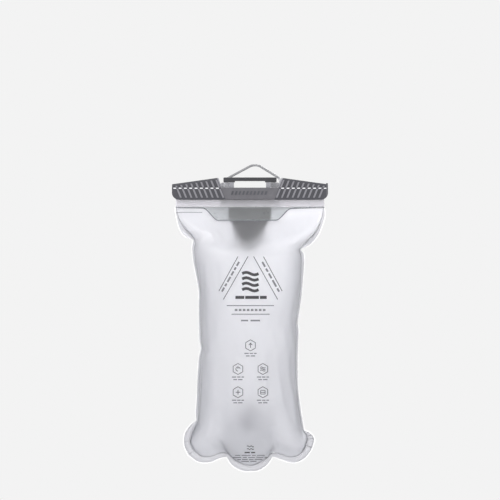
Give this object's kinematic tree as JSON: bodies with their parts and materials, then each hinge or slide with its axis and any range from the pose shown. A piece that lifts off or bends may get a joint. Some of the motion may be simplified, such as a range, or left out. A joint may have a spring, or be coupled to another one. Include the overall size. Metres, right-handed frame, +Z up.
{
  "type": "hydration bladder",
  "caption": "Filled translucent drinking reservoir with a fold-over mouth, ribbed slide closure, hang loop, cleat bar and a valved hose port at the back.",
  "frame": {"origin": "the point where a hook carries the hang loop, on the bag's middle plane", "axes": "+Z up along the hanging bag, +X to the right of someone facing the front, the front faces -Y, the hose port leaves towards +Y"},
  "size_m": [0.185, 0.0999, 0.3677],
  "materials": {
    "film": "frosted translucent TPU film",
    "collar": "clear stiff TPU, faintly cloudy",
    "rail": "natural moulded plastic",
    "patch": "dark satin TPU",
    "loop": "smoky translucent TPU",
    "slider": "fine spark-eroded grey",
    "slider_cap": "darker satin grey",
    "cleat": "charcoal satin",
    "port": "satin grey moulding",
    "button": "charcoal satin",
    "seal": "soft black silicone",
    "spring": "drawn wire"
  },
  "bodies": {
    "bag": {"front_panel": "film", "back_panel": "film", "mouth_collar_front": "collar", "mouth_collar_rear": "collar", "mouth_rail_front": "rail", "mouth_rail_rear": "rail", "hang_patch": "patch", "port_flange": "collar", "port_body": "port", "port_nut": "rail", "plug_seal": "seal", "button_spring": "spring", "valve_spring": "spring", "valve_cage": "rail"},
    "slider": {"slider_channel": "slider", "slider_end_cap": "slider_cap", "cleat_bar": "cleat"},
    "loop": {"hang_loop": "loop"},
    "latch": {"latch_plate": "rail", "release_button": "button"},
    "valve": {"valve_poppet": "rail", "valve_seal": "seal"}
  },
  "joints": [
    {"name": "slider_slide", "type": "slide", "parent": "bag", "child": "slider", "axis": [1, 0, 0], "range_m": [0, 0.19]},
    {"name": "loop_flex", "type": "hinge", "parent": "bag", "child": "loop", "pos_m": [0, 0.0063, -0.04605], "axis": [-1, 0, 0], "range_deg": [0, 80], "stiffness_Nm_per_rad": 0.02, "springref_deg": -5.73},
    {"name": "release_press", "type": "slide", "parent": "bag", "child": "latch", "axis": [0, 0, -1], "range_m": [0, 0.0018], "stiffness_N_per_m": 400, "springref_m": -0.002, "deforming": ["button_spring"]},
    {"name": "valve_open", "type": "slide", "parent": "bag", "child": "valve", "axis": [0, -1, 0], "range_m": [0, 0.003], "stiffness_N_per_m": 300, "springref_m": -0.002, "deforming": ["valve_spring"]}
  ]
}
